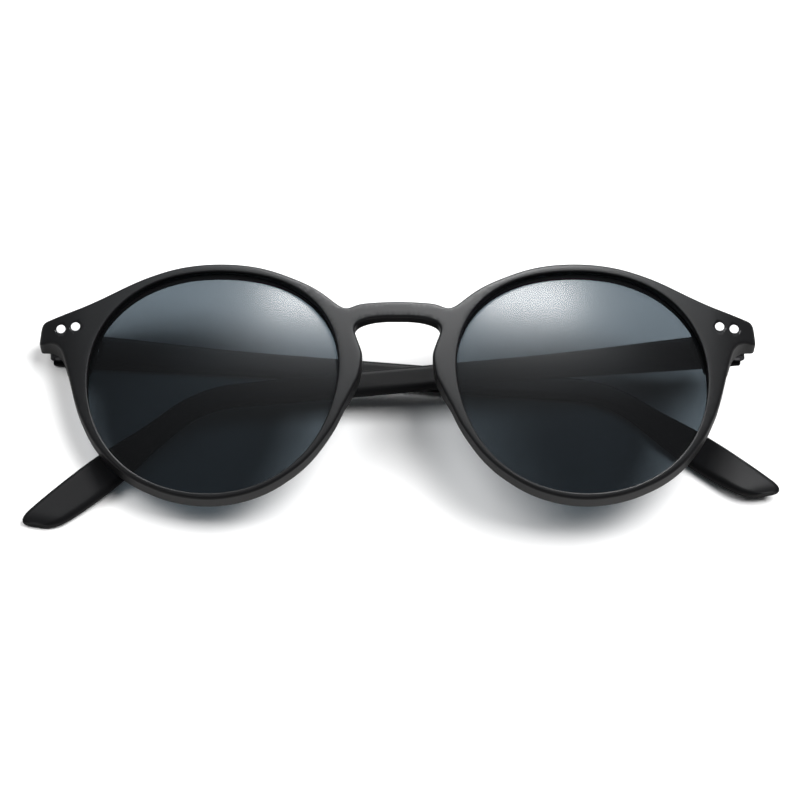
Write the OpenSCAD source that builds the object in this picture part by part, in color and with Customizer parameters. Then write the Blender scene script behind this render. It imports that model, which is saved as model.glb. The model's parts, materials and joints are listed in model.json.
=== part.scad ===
// Round sunglasses lying folded on a table, front up, one arm across the other.
// Modelled upright in front view: X across the face, Y up to the brow, Z out of the lenses.
// Left and right are the wearer's, so the left side is at +X.

/* [Front] */
// Radius of the ball that the front surface follows
front_ball_r = 260; // [180:5:400]
// Thickness of rims and bridge, front to back
front_depth = 4; // [3:0.1:6]
// Distance between the lens centres
lens_spacing = 70.6; // [64:0.2:76]
// Mean radius of the visible lens
lens_mean_r = 24.14; // [20:0.1:28]
// Height of the upper edge of the bridge
bridge_top_y = 15.45; // [12:0.1:18]
// Height of the lower edge of the bridge
bridge_low_y = 11.95; // [8:0.1:14]
// Thickness of the bridge in the middle, front to back
bridge_depth = 3; // [2:0.1:5]
// Half width of the nose gap at its narrowest
nose_half_w = 7.0; // [5:0.1:10]

/* [Rim width at the face] */
// Above the lens
rim_w_top = 1.7; // [1:0.1:4]
// Towards the temple
rim_w_side = 2.9; // [1:0.1:5]
// Below the lens
rim_w_low = 1.25; // [1:0.05:4]
// Towards the nose
rim_w_nose = 2.2; // [1:0.1:5]

/* [Lenses] */
// Lens thickness
lens_t = 1.9; // [1.4:0.1:2.6]
// Radius of the ball that a lens is cut from
lens_ball_r = 90; // [70:5:260]
// Depth of the lens face behind the rim face
lens_recess = 1.4; // [0.5:0.1:2.5]
// How far the lens edge goes into the groove
groove_depth = 0.6; // [0.3:0.05:1.2]
// Room round the lens edge in the groove
lens_fit = 0.05; // [0.02:0.01:0.2]

/* [Nose pads] */
// Radius of the rounded pad
pad_r = 2.6; // [1.5:0.1:4]
// Length of the pad between its round ends
pad_len = 6.5; // [4:0.5:14]
// How far the pad stands into the nose gap
pad_stand = 0.3; // [0:0.1:1.5]

/* [Endpieces] */
// How far the endpiece reaches out past the rim
end_len = 7.56; // [5:0.02:11]
// Upper edge of the endpiece at its outer end
end_top_y = 15.7; // [14:0.1:18]
// Lower edge of the endpiece
end_low_y = 11.2; // [8:0.1:13]
// Back plane of the endpiece, behind the middle of the front
end_back = 15.4; // [12:0.1:20]
// Width of the part that rolls back at each end
roll_w = 9.4; // [6:0.1:13]
// Radius of that roll
roll_r = 30; // [15:1:60]

/* [Hinges] */
// Hinge axis, in from the end of the front
hinge_in = 3.3; // [2.6:0.1:5]
// Middle height of the hinge
hinge_y = 13.7; // [10:0.1:17]
// Hinge axis behind the endpiece
hinge_set_back = 1.2; // [0.8:0.05:2]
// Radius of the knuckles
knuckle_r = 1.5; // [1:0.05:2.5]
// Height of one knuckle
knuckle_h = 1.8; // [1.2:0.1:3]
// Gap between knuckles
knuckle_gap = 0.1; // [0.05:0.05:0.4]
// Room round the knuckles in the plastic
knuckle_room = 0.25; // [0.15:0.05:0.5]
// Thickness of the hinge leaves
leaf_t = 0.9; // [0.6:0.05:1.4]
// Height of the hinge leaves
leaf_h = 3.6; // [2.5:0.1:5]
// Depth of the leaf below the plastic
leaf_sunk = 0.2; // [0:0.05:0.6]
// Room round a leaf in its pocket
leaf_fit = 0.03; // [0.01:0.01:0.1]

/* [Screws and rivets] */
// Radius of the screw shank
screw_r = 0.6; // [0.4:0.05:1]
// Radius of the screw head
screw_head_r = 1.1; // [0.8:0.05:1.4]
// Height of the screw head
screw_head_h = 0.5; // [0.3:0.05:1]
// Running room round the screw
screw_fit = 0.05; // [0.02:0.01:0.1]
// Radius of a rivet head
rivet_head_r = 1.0; // [0.7:0.05:1.6]
// Radius of a rivet shank
rivet_r = 0.6; // [0.4:0.05:1]
// Height of a rivet head
rivet_head_h = 0.7; // [0.4:0.05:1.2]
// Room round a rivet
rivet_fit = 0.02; // [0.01:0.01:0.05]
// Inner front rivet, in from the hinge axis
front_rivet_in = 4.0; // [3:0.1:8]
// Outer front rivet, in from the hinge axis
front_rivet_out = 1.1; // [1:0.1:3]
// Near rivet of an arm, from the hinge axis
arm_rivet_near = 3.4; // [2.8:0.1:5]
// Far rivet of an arm, from the hinge axis
arm_rivet_far = 6.3; // [5:0.1:9]

/* [Arms] */
// Length along the arm from the hinge axis to the middle of the tip
arm_len = 146.5; // [130:1:160]
// Thickness of an arm
arm_t = 2.7; // [2.2:0.1:4]
// Roundness of the long edges
arm_edge_r = 1.1; // [0.4:0.1:1.3]
// Radius of the ear bend
bend_r = 22; // [15:1:60]
// Turn of the ear bend, degrees
bend_deg = 34.8; // [25:1:50]
// Height at the hinge
arm_h_hinge = 6.8; // [4:0.1:8]
// Height of the waist behind the hinge
arm_h_waist = 5.0; // [3:0.1:7]
// Height in the middle
arm_h_mid = 5.1; // [3:0.1:7]
// Height in the ear bend
arm_h_bend = 4.7; // [3:0.1:7]
// Rounding of the tip's corners
tip_round = 1.3; // [0.6:0.1:2]
// Greatest height of the tip
arm_h_tip = 7.0; // [4:0.1:9]
// Height where the tip is cut
arm_h_end = 5.4; // [3:0.1:8]
// Slant of the cut across the tip, as a slope
tip_slant = 0.62; // [0:0.02:1]
// Length over which an arm's ends turn from slanted to square
slant_len = 13; // [8:0.5:18]
// Gap between an open arm and the endpiece
butt_gap = 0.3; // [0.1:0.05:0.6]

/* [Each arm as adjusted] */
// Straight length of the left arm before its bend
left_bend_at = 98.5; // [80:0.5:115]
// Straight length of the right arm before its bend
right_bend_at = 102; // [80:0.5:115]
// Droop of the left arm, degrees
left_droop = 6.9; // [0:0.05:12]
// Droop of the right arm, degrees
right_droop = 3.15; // [0:0.05:12]
// Inward curve of the left tip
left_curl = 1; // [0:0.5:12]
// Inward curve of the right tip
right_curl = 5.5; // [0:0.5:12]

/* [Core wires] */
// Radius of the wire
wire_r = 0.7; // [0.4:0.05:0.9]
// Start of the wire from the hinge axis
wire_start = 12; // [10:1:20]
// Plastic left beyond the end of the wire
wire_end_cover = 6; // [4:1:15]
// Room round the wire
wire_fit = 0.02; // [0.01:0.01:0.05]

/* [As it lies] */
// Left arm nearer the front than parallel, degrees
left_fold = 2.2; // [0:0.1:4]
// Right arm further back than parallel, degrees
right_fold = 4.4; // [0:0.1:6]
// Lean of the front on the table, degrees
table_tilt = 9.07; // [0:0.01:15]
// Height of the front above the table
table_z = 23.02; // [10:0.01:30]
// Sideways lean of the front on the table, degrees
table_roll = 4.8; // [0:0.01:8]
// Place of the bridge across the table
table_x = -2.96; // [-20:0.01:20]
// Place of the bridge along the table
table_y = -1.16; // [-20:0.01:20]

/* [Hidden] */
$fn = 96;
eps = 0.01;
lens_x = lens_spacing / 2;
half_w = lens_x + lens_mean_r + rim_w_side + end_len;
hinge_x = half_w - hinge_in;
roll_start_x = half_w - roll_w;
hinge_z = -end_back - hinge_set_back;
stack_h = 3 * knuckle_h + 2 * knuckle_gap;
stack_low = hinge_y - stack_h / 2;
arm_in = butt_gap;
arm_out = arm_in + arm_t;
arm_butt = hinge_set_back - butt_gap;

// Lens outline: a circle with four small named departures from round.
function lens_r(a) =
  lens_mean_r * (1
    + 0.0104 * cos(a) + 0.0191 * sin(a)
    + 0.0157 * cos(2 * a) + 0.0124 * sin(2 * a)
    + 0.0203 * sin(3 * a)
    - 0.0128 * cos(4 * a) - 0.0046 * sin(4 * a));

// Rim width round the lens, from the temple side at 0 degrees.
rim_stops = [
  [0, rim_w_side], [50, rim_w_side * 0.86], [62, rim_w_top], [105, rim_w_top], [125, rim_w_top * 0.88],
  [140, rim_w_top * 1.41], [152, rim_w_nose * 1.5], [180, rim_w_nose * 1.82],
  [195, rim_w_nose], [212, rim_w_nose * 0.68], [235, rim_w_low * 0.85], [270, rim_w_low],
  [300, rim_w_low * 0.85], [330, rim_w_low * 1.2], [345, rim_w_side * 0.69], [360, rim_w_side]
];
function rim_w(a) = lookup(a, rim_stops);
function rim_spot(a) = [lens_x + (lens_r(a) + rim_w(a)) * cos(a), (lens_r(a) + rim_w(a)) * sin(a)];

// Smooth line through points, n steps from one to the next.
function blend(a, b, c, d, t) =
  0.5 * (2 * b + (c - a) * t + (2 * a - 5 * b + 4 * c - d) * t * t + (3 * b - a - 3 * c + d) * t * t * t);
function smooth(p, n) = [
  for (i = [0 : len(p) - 2])
    for (j = [0 : n - 1])
      blend(p[max(i - 1, 0)], p[i], p[i + 1], p[min(i + 2, len(p) - 1)], j / n),
  p[len(p) - 1]
];

// Plan of one lens, grown by g.
module lens_plan(g) {
  polygon([for (a = [0 : 3 : 357]) [lens_x + (lens_r(a) + g) * cos(a), (lens_r(a) + g) * sin(a)]]);
}

module rim_plan() {
  polygon([for (a = [0 : 3 : 357]) rim_spot(a)]);
}

// Right half of the bridge and the nose side, joined to the rim, from the lens edge nearest the nose.
lens_in = lens_x - lens_mean_r;
bridge_top = [for (t = [[0, 1], [0.39, 0.99], [0.66, 0.968], [0.87, 0.913], [1.02, 0.958], [1.24, 1.081]])
  [t[0] * lens_in, t[1] * bridge_top_y]];
nose_side = [for (t = [[1.4, -0.46], [1.27, -0.335], [1.1, -0.06], [1.014, 0.2], [1, 0.35],
                       [1.086, 0.52], [1.2, 0.72], [1.086, 0.874], [0.714, 0.97], [0.37, 1], [0, 1]])
  [t[0] * nose_half_w, t[1] * bridge_low_y]];
module bridge_plan() {
  polygon(concat(smooth(bridge_top, 4), [[lens_in * 1.43, bridge_low_y], [lens_in * 1.25, 0]],
    smooth(nose_side, 4)));
}

// Endpiece: its upper edge runs from the rim to the outer end, its lower edge back to the rim.
end_from = rim_spot(54);
end_to = [half_w - end_len * 0.1, end_top_y];
end_top = [for (t = [[0, 0], [0.26, 0.34], [0.52, 0.654], [0.79, 0.862], [1, 1]])
  [end_from[0] + t[0] * (end_to[0] - end_from[0]), end_from[1] + t[1] * (end_to[1] - end_from[1])]];
end_side = [for (t = [[0.04, 1.357], [0, 1.018], [0.02, 1], [0.304, 1], [0.476, 0.9375], [0.608, 0.821],
                      [0.668, 0.705], [0.747, 0.527], [0.86, 0.232], [0.979, -0.09], [1.574, -0.09]])
  [half_w - t[0] * end_len, t[1] * end_low_y]];
module end_plan() {
  polygon(concat(smooth(end_top, 3), end_side, [[end_from[0], end_from[1] * 0.9]]));
}

module both_sides() {
  children();
  mirror([1, 0, 0]) children();
}

// Front surface: a ball, rolled back towards each temple.
function skin_z(x, y) = sqrt(pow(front_ball_r, 2) - x * x - y * y) - front_ball_r;
roll_slope = asin(roll_start_x / front_ball_r);
roll_cx = roll_start_x - roll_r * sin(roll_slope);
roll_cz = skin_z(roll_start_x, hinge_y) - roll_r * cos(roll_slope);
function rolled_z(x) = roll_cz + sqrt(roll_r * roll_r - pow(x - roll_cx, 2));

module ball(r) {
  translate([0, 0, -front_ball_r]) sphere(r = r, $fn = 180);
}

module roll_plan() {
  translate([-roll_start_x, -50]) square([2 * roll_start_x, 55]);
  translate([roll_cx, roll_cz]) circle(r = roll_r);
  translate([-roll_cx, roll_cz]) circle(r = roll_r);
}

module front_skin() {
  intersection() {
    ball(front_ball_r);
    translate([0, 40, 0]) rotate([90, 0, 0]) linear_extrude(height = 80) roll_plan();
  }
}

module slab() {
  translate([0, 0, -30]) linear_extrude(height = 35) children();
}

module rims_and_bridge() {
  difference() {
    intersection() {
      front_skin();
      slab() both_sides() {
        rim_plan();
        bridge_plan();
        end_plan();
      }
    }
    ball(front_ball_r - front_depth);
    bridge_scoop();
  }
}

// Shallow hollow behind the bridge.
module bridge_scoop() {
  scoop_r = 50;
  translate([0, 40, -bridge_depth - scoop_r]) rotate([90, 0, 0])
    cylinder(r = scoop_r, h = 40 - bridge_low_y + 3);
}

// One endpiece, deeper than the rim, with a sloped inner flank.
module endpiece() {
  intersection() {
    front_skin();
    slab() end_plan();
    translate([0, 40, 0]) rotate([90, 0, 0]) linear_extrude(height = 80) polygon([
      [half_w - end_len * 1.706, -end_back * 0.45], [half_w - end_len * 1.706, -end_back * 0.727],
      [half_w - end_len * 1.23, -end_back], [half_w + 1, -end_back],
      [half_w + 1, -front_depth], [half_w - end_len * 1.045, -front_depth]
    ]);
    translate([end_from[0], end_low_y / 2, -30]) cube([30, 30, 35]);
  }
}

module nose_pad() {
  lean = 14;
  translate([nose_half_w * 1.157 + pad_r - pad_stand, 0, -front_depth * 1.15]) rotate([0, 0, lean]) {
    rotate([90, 0, 0]) cylinder(r = pad_r, h = pad_len, center = true);
    translate([0, pad_len / 2, 0]) sphere(r = pad_r);
    translate([0, -pad_len / 2, 0]) sphere(r = pad_r);
  }
}

// The lens is cut from a smaller ball, which meets the rim at one depth all round.
lens_turn = asin(lens_x / (front_ball_r - lens_recess));
lens_ball_far = sqrt(pow(front_ball_r - lens_recess, 2) - pow(lens_mean_r, 2))
  - sqrt(pow(lens_ball_r, 2) - pow(lens_mean_r, 2));

module lens_shell(grow) {
  translate([lens_ball_far * sin(lens_turn), 0, lens_ball_far * cos(lens_turn) - front_ball_r])
    difference() {
      sphere(r = lens_ball_r + grow, $fn = 180);
      sphere(r = lens_ball_r - lens_t - grow, $fn = 180);
    }
}

module lens_cut() {
  slab() lens_plan(0);
  intersection() {
    slab() lens_plan(groove_depth + lens_fit);
    lens_shell(lens_fit);
  }
}

// Spots of the rivets on one endpiece, at the height that the leaf has there.
front_rivet_spots = [
  [hinge_x - front_rivet_in, hinge_y],
  [hinge_x - front_rivet_out, hinge_y]
];
leaf_front_z = hinge_z + knuckle_r + leaf_sunk + leaf_t;

module front_rivet_cut(spot) {
  translate([spot[0], spot[1], -20]) cylinder(r = rivet_r + rivet_fit, h = 25);
  translate([spot[0], spot[1], rolled_z(spot[0]) - rivet_head_h])
    cylinder(r = rivet_head_r + rivet_fit, h = 5);
}

// Room in the back of one endpiece for the leaf and the knuckles.
module front_hinge_cut() {
  g = leaf_fit;
  leaf_in = hinge_x - front_rivet_in - 1.6;
  translate([leaf_in - g, hinge_y - leaf_h / 2 - g, -end_back - 2])
    cube([hinge_x - leaf_in + 2 * g, leaf_h + 2 * g, 2 + end_back + leaf_front_z + g]);
  translate([hinge_x, stack_low - 3, hinge_z]) rotate([-90, 0, 0])
    cylinder(r = knuckle_r + knuckle_room, h = stack_h + 6);
  for (spot = front_rivet_spots) front_rivet_cut(spot);
}

module front_frame() {
  color([0.03, 0.03, 0.035])
    difference() {
      union() {
        rims_and_bridge();
        both_sides() {
          endpiece();
          nose_pad();
        }
      }
      both_sides() {
        lens_cut();
        front_hinge_cut();
      }
    }
}

module lens() {
  color([0.10, 0.12, 0.15, 0.6])
    intersection() {
      slab() lens_plan(groove_depth);
      lens_shell(0);
    }
}

module knuckle(low) {
  translate([hinge_x, low, hinge_z]) rotate([-90, 0, 0]) cylinder(r = knuckle_r, h = knuckle_h);
}

// Screw hole down the whole stack, with the head's seat at the top.
module screw_cut() {
  translate([hinge_x, stack_low - 1, hinge_z]) rotate([-90, 0, 0])
    cylinder(r = screw_r + screw_fit, h = stack_h + 2);
  translate([hinge_x, stack_low + stack_h - screw_head_h, hinge_z]) rotate([-90, 0, 0])
    cylinder(r = screw_head_r + screw_fit, h = 2);
}

module front_hinge() {
  leaf_in = hinge_x - front_rivet_in - 1.6;
  top_low = stack_low + 2 * (knuckle_h + knuckle_gap);
  color([0.22, 0.22, 0.23])
    difference() {
      union() {
        translate([leaf_in, hinge_y - leaf_h / 2, leaf_front_z - leaf_t])
          cube([hinge_x - leaf_in, leaf_h, leaf_t]);
        for (low = [stack_low, top_low]) {
          knuckle(low);
          web_low = max(low, hinge_y - leaf_h / 2);
          web_top = min(low + knuckle_h, hinge_y + leaf_h / 2);
          translate([hinge_x - knuckle_r * 0.8, web_low, hinge_z])
            cube([knuckle_r * 0.8, web_top - web_low, leaf_front_z - leaf_t - hinge_z + eps]);
        }
      }
      screw_cut();
      for (spot = front_rivet_spots)
        translate([spot[0], spot[1], -20]) cylinder(r = rivet_r + rivet_fit, h = 10);
    }
}

module hinge_screw() {
  color([0.75, 0.75, 0.76])
    difference() {
      union() {
        translate([hinge_x, stack_low - 0.1, hinge_z]) rotate([-90, 0, 0])
          cylinder(r = screw_r, h = stack_h + 0.1 - screw_head_h + eps);
        translate([hinge_x, stack_low + stack_h - screw_head_h, hinge_z]) rotate([-90, 0, 0])
          cylinder(r = screw_head_r, h = screw_head_h);
      }
      translate([hinge_x - 2, stack_low + stack_h - 0.2, hinge_z - 0.15]) cube([4, 1, 0.3]);
    }
}

module front_rivet(spot) {
  color([0.9, 0.9, 0.92])
    intersection() {
      front_skin();
      union() {
        translate([spot[0], spot[1], rolled_z(spot[0]) - rivet_head_h])
          cylinder(r = rivet_head_r, h = 3);
        translate([spot[0], spot[1], leaf_front_z - leaf_t])
          cylinder(r = rivet_r, h = rolled_z(spot[0]) - leaf_front_z + leaf_t);
      }
    }
}

// The arm's own frame: X along the arm from the hinge axis, Y up, Z out through its outer face.
function arm_heading(s, droop, bend_at) =
  droop + min(max(s - bend_at, 0) / bend_r * 180 / PI, bend_deg);
function arm_spot(s, droop, bend_at) =
  let (a = arm_heading(s, droop, bend_at),
       straight = min(s, bend_at),
       after = max(s - bend_at - bend_r * bend_deg * PI / 180, 0))
  [straight * cos(droop) + bend_r * (sin(a) - sin(droop)) + after * cos(a),
   -straight * sin(droop) + bend_r * (cos(a) - cos(droop)) - after * sin(a)];

arm_h_stops = [
  [0, arm_h_hinge], [0.07, arm_h_hinge * 0.97], [0.25, arm_h_waist], [0.45, arm_h_mid],
  [0.56, arm_h_mid], [0.67, arm_h_bend], [0.785, arm_h_bend], [0.91, arm_h_tip], [1.02, arm_h_end]
];
arm_h_line = smooth(arm_h_stops, 5);
function arm_h(s) = lookup(max(s / arm_len, 0), arm_h_line);
function arm_curl(s, curl) = curl * pow(max(s / arm_len - 0.635, 0) / 0.375, 2);

// Slant of the section: square to the endpiece at the hinge, cut at a slant at the tip.
function arm_slant(s, droop) =
  s < slant_len ? -tan(droop) * (1 - max(s, 0) / slant_len)
  : max(s - arm_len + slant_len, 0) / slant_len * tip_slant;

// Rounded section: 16 points, size w by h, edge radius r.
function section(w, h, r) = [
  for (q = [0 : 3])
    for (k = [0 : 3])
      let (a = q * 90 + k * 30,
           sx = (q == 0 || q == 3) ? 1 : -1,
           sy = q < 2 ? 1 : -1)
      [sx * (w / 2 - r) + r * cos(a), sy * (h / 2 - r) + r * sin(a)]
];

function place(p, s, droop, bend_at, curl) =
  let (a = arm_heading(s, droop, bend_at),
       c = arm_spot(s, droop, bend_at),
       k = arm_slant(s, droop))
  [c[0] + p[1] * (sin(a) + k * cos(a)),
   c[1] + p[1] * (cos(a) - k * sin(a)),
   arm_in + arm_t / 2 + p[0] - arm_curl(s, curl)];

// A solid skin over rings of points.
module loft(rings) {
  n = len(rings[0]);
  m = len(rings);
  polyhedron(
    points = [for (ring = rings) for (p = ring) p],
    faces = concat(
      [[for (i = [n - 1 : -1 : 0]) i]],
      [for (j = [0 : m - 2]) for (i = [0 : n - 1]) [j * n + i, (j + 1) * n + (i + 1) % n, (j + 1) * n + i]],
      [for (j = [0 : m - 2]) for (i = [0 : n - 1])
        [j * n + i, j * n + (i + 1) % n, (j + 1) * n + (i + 1) % n]],
      [[for (i = [0 : n - 1]) (m - 1) * n + i]]
    )
  );
}

function bend_steps(bend_at) = [for (i = [0 : 12]) bend_at + i * bend_r * bend_deg * PI / 180 / 12];
function arm_steps(bend_at) =
  let (bend_end = bend_at + bend_r * bend_deg * PI / 180, last = arm_len - tip_round)
  concat(
    [-arm_butt],
    [for (i = [1 : 17]) bend_at * i / 18],
    bend_steps(bend_at),
    [for (i = [1 : 7]) bend_end + (last - bend_end) * i / 7]
  );

module arm_body(droop, bend_at, curl) {
  loft(concat(
    [for (s = arm_steps(bend_at))
      [for (p = section(arm_t, arm_h(s), arm_edge_r)) place(p, s, droop, bend_at, curl)]],
    [for (a = [22.5 : 22.5 : 90])
      let (s = arm_len - tip_round * (1 - sin(a)),
           cut = tip_round * (1 - cos(a)),
           thin = min(cut, arm_edge_r * 0.8))
      [for (p = section(arm_t - thin, arm_h(s) - 2 * cut, arm_edge_r - thin / 2))
        place(p, s, droop, bend_at, curl)]]
  ));
}

module wire_body(grow, droop, bend_at, curl) {
  steps = concat([wire_start - grow, bend_at * 0.3, bend_at * 0.6], bend_steps(bend_at),
    [arm_len * 0.89, arm_len - wire_end_cover + grow]);
  loft([for (s = steps)
    [for (i = [0 : 7])
      place((wire_r + grow) * [cos(i * 45 + 22.5), sin(i * 45 + 22.5)], s, droop, bend_at, curl)]]);
}

arm_leaf_len = arm_rivet_far + 1.6;
arm_leaf_in = arm_in + leaf_sunk;

module arm_leaf(grow, droop) {
  rotate([0, 0, -droop])
    translate([0, -leaf_h / 2 - grow, arm_leaf_in - grow])
      cube([arm_leaf_len + grow, leaf_h + 2 * grow, leaf_t + 2 * grow]);
}

module arm_rivet_holes(droop) {
  rotate([0, 0, -droop])
    for (s = [arm_rivet_near, arm_rivet_far]) {
      translate([s, 0, -1]) cylinder(r = rivet_r + rivet_fit, h = 8);
      translate([s, 0, arm_out - rivet_head_h]) cylinder(r = rivet_head_r + rivet_fit, h = 2);
    }
}

module arm_plastic(droop, bend_at, curl) {
  color([0.03, 0.03, 0.035])
    difference() {
      arm_body(droop, bend_at, curl);
      rotate([0, 0, -droop])
        translate([-3, -leaf_h / 2 - leaf_fit, arm_in - 1])
          cube([arm_leaf_len + leaf_fit + 3, leaf_h + 2 * leaf_fit, 1 + leaf_sunk + leaf_t + leaf_fit]);
      translate([0, -9, 0]) rotate([-90, 0, 0]) cylinder(r = knuckle_r + knuckle_room, h = 18);
      arm_rivet_holes(droop);
      wire_body(wire_fit, droop, bend_at, curl);
    }
}

module arm_hinge(droop) {
  color([0.22, 0.22, 0.23])
    difference() {
      union() {
        rotate([0, 0, -droop])
          intersection() {
            translate([0, -leaf_h / 2, arm_leaf_in]) cube([arm_leaf_len, leaf_h, leaf_t]);
            union() {
              translate([knuckle_r + knuckle_room + 0.3, -5, -5]) cube([20, 10, 10]);
              translate([-1, -knuckle_h / 2 + 0.25, -5]) cube([20, knuckle_h - 0.5, 10]);
            }
          }
        rotate([90, 0, 0]) cylinder(r = knuckle_r, h = knuckle_h, center = true);
      }
      rotate([90, 0, 0]) cylinder(r = screw_r + screw_fit, h = 10, center = true);
      arm_rivet_holes(droop);
    }
}

module arm_rivet(s, droop) {
  color([0.9, 0.9, 0.92])
    rotate([0, 0, -droop]) {
      translate([s, 0, arm_leaf_in]) cylinder(r = rivet_r, h = arm_out - rivet_head_h - arm_leaf_in + eps);
      translate([s, 0, arm_out - rivet_head_h]) cylinder(r = rivet_head_r, h = rivet_head_h);
    }
}

module core_wire(droop, bend_at, curl) {
  color([0.6, 0.6, 0.62]) wire_body(0, droop, bend_at, curl);
}

// Folded places: the left arm runs to -X behind the front, the right arm is its mirror image.
module left_arm_place() {
  translate([hinge_x, hinge_y, hinge_z]) rotate([0, 180 + left_fold, 0]) children();
}

module right_arm_place() {
  mirror([1, 0, 0])
    translate([hinge_x, hinge_y, hinge_z]) rotate([0, 180 - right_fold, 0]) children();
}

module as_it_lies() {
  translate([table_x, table_y, table_z]) rotate([table_tilt, 0, 0]) rotate([0, -table_roll, 0])
    children();
}

module lens_left() { as_it_lies() lens(); }
module lens_right() { as_it_lies() mirror([1, 0, 0]) lens(); }
module front_hinge_left() { as_it_lies() front_hinge(); }
module front_hinge_right() { as_it_lies() mirror([1, 0, 0]) front_hinge(); }
module hinge_screw_left() { as_it_lies() hinge_screw(); }
module hinge_screw_right() { as_it_lies() mirror([1, 0, 0]) hinge_screw(); }
module front_rivet_inner_left() { as_it_lies() front_rivet(front_rivet_spots[0]); }
module front_rivet_outer_left() { as_it_lies() front_rivet(front_rivet_spots[1]); }
module front_rivet_inner_right() { as_it_lies() mirror([1, 0, 0]) front_rivet(front_rivet_spots[0]); }
module front_rivet_outer_right() { as_it_lies() mirror([1, 0, 0]) front_rivet(front_rivet_spots[1]); }
module temple_left() { as_it_lies() left_arm_place() arm_plastic(left_droop, left_bend_at, left_curl); }
module temple_right() { as_it_lies() right_arm_place() arm_plastic(right_droop, right_bend_at, right_curl); }
module core_wire_left() { as_it_lies() left_arm_place() core_wire(left_droop, left_bend_at, left_curl); }
module core_wire_right() { as_it_lies() right_arm_place() core_wire(right_droop, right_bend_at, right_curl); }
module temple_hinge_left() { as_it_lies() left_arm_place() arm_hinge(left_droop); }
module temple_hinge_right() { as_it_lies() right_arm_place() arm_hinge(right_droop); }
module temple_rivet_near_left() { as_it_lies() left_arm_place() arm_rivet(arm_rivet_near, left_droop); }
module temple_rivet_far_left() { as_it_lies() left_arm_place() arm_rivet(arm_rivet_far, left_droop); }
module temple_rivet_near_right() { as_it_lies() right_arm_place() arm_rivet(arm_rivet_near, right_droop); }
module temple_rivet_far_right() { as_it_lies() right_arm_place() arm_rivet(arm_rivet_far, right_droop); }
module front() { as_it_lies() front_frame(); }

front();  // front_frame
lens_left();
lens_right();
temple_left();
temple_right();
core_wire_left();
core_wire_right();
front_hinge_left();
front_hinge_right();
temple_hinge_left();
temple_hinge_right();
hinge_screw_left();
hinge_screw_right();
front_rivet_inner_left();
front_rivet_outer_left();
front_rivet_inner_right();
front_rivet_outer_right();
temple_rivet_near_left();
temple_rivet_far_left();
temple_rivet_near_right();
temple_rivet_far_right();
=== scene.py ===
"""Round sunglasses lying folded on a pale table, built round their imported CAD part.

Every length inside a piece is in millimetres in the front's own axes: X across the face, Y up to
the brow, Z out of the lenses. The face frame, worked out from the two hinges, turns them into the
part's frame in metres.
"""

import json
import logging
import math
from dataclasses import dataclass
from enum import Enum
from typing import Optional, Sequence

import bmesh
import bpy
import numpy as np
from bpy.types import Material, Object
from mathutils import Matrix, Vector
from mathutils.geometry import delaunay_2d_cdt

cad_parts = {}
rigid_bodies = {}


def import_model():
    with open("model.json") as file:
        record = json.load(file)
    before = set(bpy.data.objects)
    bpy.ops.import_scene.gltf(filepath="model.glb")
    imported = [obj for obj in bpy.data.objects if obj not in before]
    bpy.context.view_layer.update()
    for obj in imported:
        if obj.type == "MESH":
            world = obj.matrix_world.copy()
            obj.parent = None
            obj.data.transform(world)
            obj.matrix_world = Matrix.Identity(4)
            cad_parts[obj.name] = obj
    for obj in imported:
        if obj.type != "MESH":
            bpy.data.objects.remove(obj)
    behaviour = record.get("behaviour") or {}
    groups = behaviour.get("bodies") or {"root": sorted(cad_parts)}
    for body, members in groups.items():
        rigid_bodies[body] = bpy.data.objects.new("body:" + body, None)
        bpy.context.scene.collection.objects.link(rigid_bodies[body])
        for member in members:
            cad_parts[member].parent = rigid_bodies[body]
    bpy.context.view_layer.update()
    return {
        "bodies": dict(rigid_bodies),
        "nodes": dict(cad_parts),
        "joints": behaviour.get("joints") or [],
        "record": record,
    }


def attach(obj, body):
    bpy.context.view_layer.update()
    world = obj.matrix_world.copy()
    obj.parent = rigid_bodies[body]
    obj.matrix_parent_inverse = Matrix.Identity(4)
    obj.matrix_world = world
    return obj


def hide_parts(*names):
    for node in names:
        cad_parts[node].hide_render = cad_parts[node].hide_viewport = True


logging.basicConfig(level=logging.INFO, format="%(message)s")
log = logging.getLogger("sunglasses")

MM = 0.001
MERGE = 1e-6  # Points nearer than this are one, metres.
SHARP = 40.0  # Edges sharper than this stay sharp, degrees.
PRINCIPLED = "ShaderNodeBsdfPrincipled"

Array = np.ndarray
Pair = tuple[float, float]
Triple = tuple[float, float, float]
Pairs = tuple[Pair, ...]


class Side(Enum):
    """The wearer's side; the value is the sign of X."""

    LEFT = 1
    RIGHT = -1

    @property
    def word(self) -> str:
        """The side as it is written in node names."""
        return self.name.lower()


def smooth_step(value: Array, low: float, high: float) -> Array:
    """A soft step from 0 at low to 1 at high."""
    t = np.clip((value - low) / (high - low), 0.0, 1.0)
    return t * t * (3.0 - 2.0 * t)


def smooth_line(points: Sequence[Sequence[float]], steps: int) -> Array:
    """A smooth curve through points.

    Args:
        points: the points to pass through.
        steps: how many steps go between two of them.

    Returns:
        The curve's points, ends included.
    """
    p = np.asarray(points, float)
    ends = np.vstack([p[:1], p, p[-1:]])
    a, b, c, d = (ends[i : i + len(p) - 1, None] for i in range(4))
    t = (np.arange(steps) / steps)[:, None]
    square, cube = 2 * a - 5 * b + 4 * c - d, 3 * b - a - 3 * c + d
    curve = 0.5 * (2 * b + (c - a) * t + square * t**2 + cube * t**3)
    return np.vstack([curve.reshape(-1, p.shape[1]), p[-1:]])


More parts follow.
